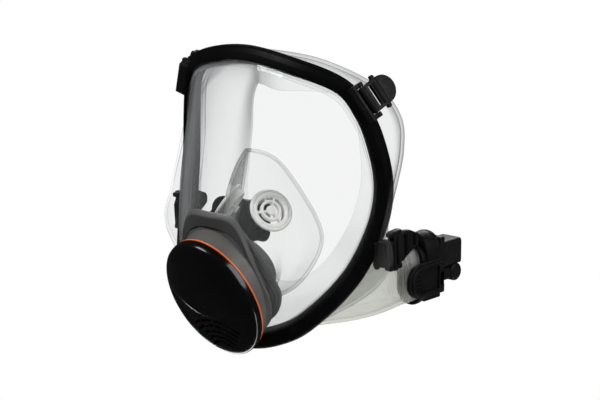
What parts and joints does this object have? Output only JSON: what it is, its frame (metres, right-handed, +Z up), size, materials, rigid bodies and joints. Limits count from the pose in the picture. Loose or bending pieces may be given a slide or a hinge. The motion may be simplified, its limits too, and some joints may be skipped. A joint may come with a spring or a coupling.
{
  "type": "full-face respirator",
  "caption": "Full-face respirator with a clear wrap-round visor, silicone face seal and oronasal cup, front exhalation module and side air ducts with quick connectors.",
  "frame": {"origin": "centre of the face opening, between the forehead and chin edges of the face seal", "axes": "+Z up, +X towards the wearer's left, +Y back towards the wearer's head; the visor faces -Y"},
  "size_m": [0.2036, 0.1667, 0.2025],
  "materials": {
    "clear_visor": "clear moulded polycarbonate",
    "clear_silicone": "soft translucent silicone, satin",
    "duct_silicone": "soft milky silicone with a green-grey tint",
    "frame_black": "glossy black moulding",
    "fitting_black": "fine satin black moulding",
    "housing_grey": "satin dark grey moulding",
    "collar_grey": "satin warm grey moulding",
    "accent_orange": "orange ring",
    "cover_black": "gloss black moulding",
    "valve_white": "white moulding",
    "steel": "ground steel"
  },
  "bodies": {
    "mask": {"visor_lens": "clear_visor", "visor_frame": "frame_black", "face_seal": "clear_silicone", "oronasal_cup": "clear_silicone", "air_duct_left": "duct_silicone", "air_duct_right": "duct_silicone", "duct_cuff_left": "fitting_black", "duct_cuff_right": "fitting_black", "connector_body_left": "fitting_black", "connector_body_right": "fitting_black", "outlet_sleeve_left": "fitting_black", "outlet_sleeve_right": "fitting_black", "sleeve_oring_left": "fitting_black", "sleeve_oring_right": "fitting_black", "button_spring_post_left": "steel", "button_spring_post_right": "steel", "upper_lug_left": "fitting_black", "upper_lug_right": "fitting_black", "upper_pin_left": "steel", "upper_pin_right": "steel", "lower_lug_left": "fitting_black", "lower_lug_right": "fitting_black", "lower_pin_left": "steel", "lower_pin_right": "steel", "front_housing": "housing_grey", "lens_gasket": "fitting_black", "inner_lock_ring": "housing_grey", "exhalation_port": "housing_grey", "port_screws": "steel", "housing_collar": "collar_grey", "accent_ring": "accent_orange", "exhalation_valve_seat": "valve_white", "inhalation_valve_seat_left": "valve_white", "inhalation_valve_seat_right": "valve_white"},
    "front_cover": {"front_cover": "cover_black"},
    "exhalation_disc": {"exhalation_valve_disc": "clear_silicone"},
    "upper_buckle_left": {"upper_buckle_left": "fitting_black"},
    "lower_buckle_left": {"lower_buckle_left": "fitting_black"},
    "inhalation_disc_left": {"inhalation_valve_disc_left": "clear_silicone"},
    "release_button_left": {"release_button_left": "fitting_black"},
    "upper_buckle_right": {"upper_buckle_right": "fitting_black"},
    "lower_buckle_right": {"lower_buckle_right": "fitting_black"},
    "inhalation_disc_right": {"inhalation_valve_disc_right": "clear_silicone"},
    "release_button_right": {"release_button_right": "fitting_black"}
  },
  "joints": [
    {"name": "front_cover_pull", "type": "slide", "parent": "mask", "child": "front_cover", "axis": [0, -0.8988, -0.4384], "range_m": [0, 0.012]},
    {"name": "exhalation_lift", "type": "slide", "parent": "mask", "child": "exhalation_disc", "axis": [0, -0.8988, -0.4384], "range_m": [0, 0.0025], "stiffness_N_per_m": 20},
    {"name": "upper_buckle_swing_left", "type": "hinge", "parent": "mask", "child": "upper_buckle_left", "pos_m": [0.08, -0.021, 0.0685], "axis": [0.4499, 0.3214, -0.8333], "range_deg": [-12, 75]},
    {"name": "lower_buckle_swing_left", "type": "hinge", "parent": "mask", "child": "lower_buckle_left", "pos_m": [0.0923, -0.006, -0.029], "axis": [0, 0.0698, -0.9976], "range_deg": [-12, 70]},
    {"name": "inhalation_open_left", "type": "slide", "parent": "mask", "child": "inhalation_disc_left", "axis": [-0.7657, 0.3203, -0.5577], "range_m": [0, 0.0015], "stiffness_N_per_m": 15},
    {"name": "release_press_left", "type": "slide", "parent": "mask", "child": "release_button_left", "axis": [-1, 0, 0], "range_m": [0, 0.0012], "stiffness_N_per_m": 900},
    {"name": "upper_buckle_swing_right", "type": "hinge", "parent": "mask", "child": "upper_buckle_right", "pos_m": [-0.08, -0.021, 0.0685], "axis": [0.4499, -0.3214, 0.8333], "range_deg": [-12, 75]},
    {"name": "lower_buckle_swing_right", "type": "hinge", "parent": "mask", "child": "lower_buckle_right", "pos_m": [-0.0923, -0.006, -0.029], "axis": [0, -0.0698, 0.9976], "range_deg": [-12, 70]},
    {"name": "inhalation_open_right", "type": "slide", "parent": "mask", "child": "inhalation_disc_right", "axis": [0.7657, 0.3203, -0.5577], "range_m": [0, 0.0015], "stiffness_N_per_m": 15},
    {"name": "release_press_right", "type": "slide", "parent": "mask", "child": "release_button_right", "axis": [1, 0, 0], "range_m": [0, 0.0012], "stiffness_N_per_m": 900}
  ]
}
